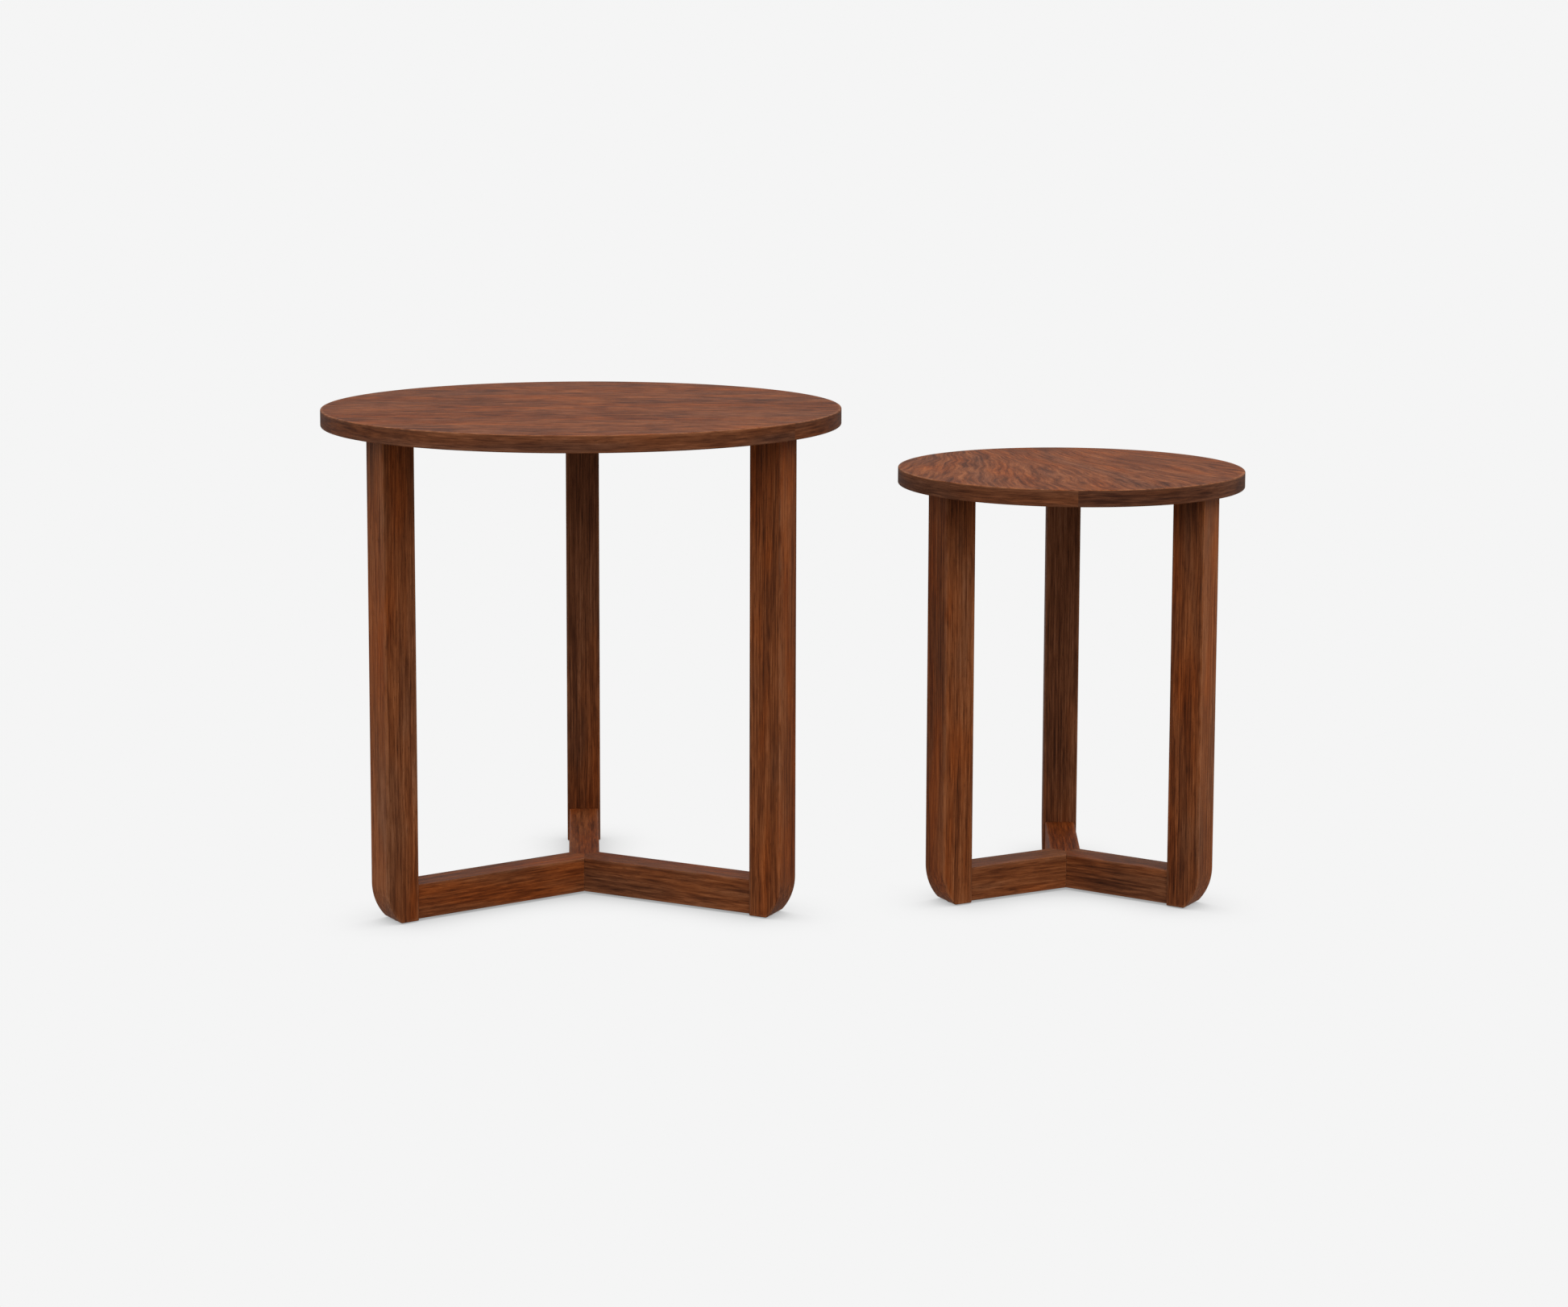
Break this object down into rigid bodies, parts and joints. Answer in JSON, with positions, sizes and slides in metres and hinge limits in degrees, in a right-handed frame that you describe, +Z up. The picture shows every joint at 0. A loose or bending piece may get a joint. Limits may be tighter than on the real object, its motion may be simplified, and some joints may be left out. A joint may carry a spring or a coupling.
{
  "type": "nesting tables",
  "caption": "Round walnut nesting side tables: thin disc tops on upright square legs, tied near the floor by a mitred stretcher; the small table tucks partly under the large one.",
  "frame": {"origin": "on the floor, at the middle of the box that holds both tables standing side by side", "axes": "+X to the right across the front, from the large table to the small one; +Y to the back; +Z up"},
  "size_m": [1.088, 0.61, 0.582],
  "materials": {
    "top_veneer": "satin lacquer, figured walnut veneer",
    "back_veneer": "thin lacquer, plain walnut veneer",
    "core_board": "raw engineered wood board",
    "edge_band": "satin lacquer, solid walnut",
    "leg_wood": "satin lacquer, solid walnut, grain upright",
    "stretcher_wood": "satin lacquer, solid walnut, grain along each arm",
    "joint_wood": "raw beech",
    "zinc_steel": "zinc plated",
    "glide_nylon": "dark brown nylon"
  },
  "bodies": {
    "large_table": {"large_back_veneer": "back_veneer", "large_edge_band_1": "edge_band", "large_edge_band_2": "edge_band", "large_edge_band_3": "edge_band", "large_face_veneer": "top_veneer", "large_fixing_plate_left": "zinc_steel", "large_fixing_plate_rear": "zinc_steel", "large_fixing_plate_right": "zinc_steel", "large_glide_left": "glide_nylon", "large_glide_pins": "zinc_steel", "large_glide_rear": "glide_nylon", "large_glide_right": "glide_nylon", "large_hub_tenons": "joint_wood", "large_leg_left": "leg_wood", "large_leg_rear": "leg_wood", "large_leg_right": "leg_wood", "large_leg_screws": "zinc_steel", "large_stretcher_dowels": "joint_wood", "large_stretcher_left": "stretcher_wood", "large_stretcher_rear": "stretcher_wood", "large_stretcher_right": "stretcher_wood", "large_top_core": "core_board", "large_top_screws": "zinc_steel"},
    "small_table": {"small_back_veneer": "back_veneer", "small_edge_band_1": "edge_band", "small_edge_band_2": "edge_band", "small_edge_band_3": "edge_band", "small_face_veneer": "top_veneer", "small_fixing_plate_left": "zinc_steel", "small_fixing_plate_rear": "zinc_steel", "small_fixing_plate_right": "zinc_steel", "small_glide_left": "glide_nylon", "small_glide_pins": "zinc_steel", "small_glide_rear": "glide_nylon", "small_glide_right": "glide_nylon", "small_hub_tenons": "joint_wood", "small_leg_left": "leg_wood", "small_leg_rear": "leg_wood", "small_leg_right": "leg_wood", "small_leg_screws": "zinc_steel", "small_stretcher_dowels": "joint_wood", "small_stretcher_left": "stretcher_wood", "small_stretcher_rear": "stretcher_wood", "small_stretcher_right": "stretcher_wood", "small_top_core": "core_board", "small_top_screws": "zinc_steel"}
  },
  "joints": [
    {"name": "nest_slide", "type": "slide", "parent": "large_table", "child": "small_table", "axis": [-0.9489, 0.3156, 0], "range_m": [0, 0.3941]}
  ]
}
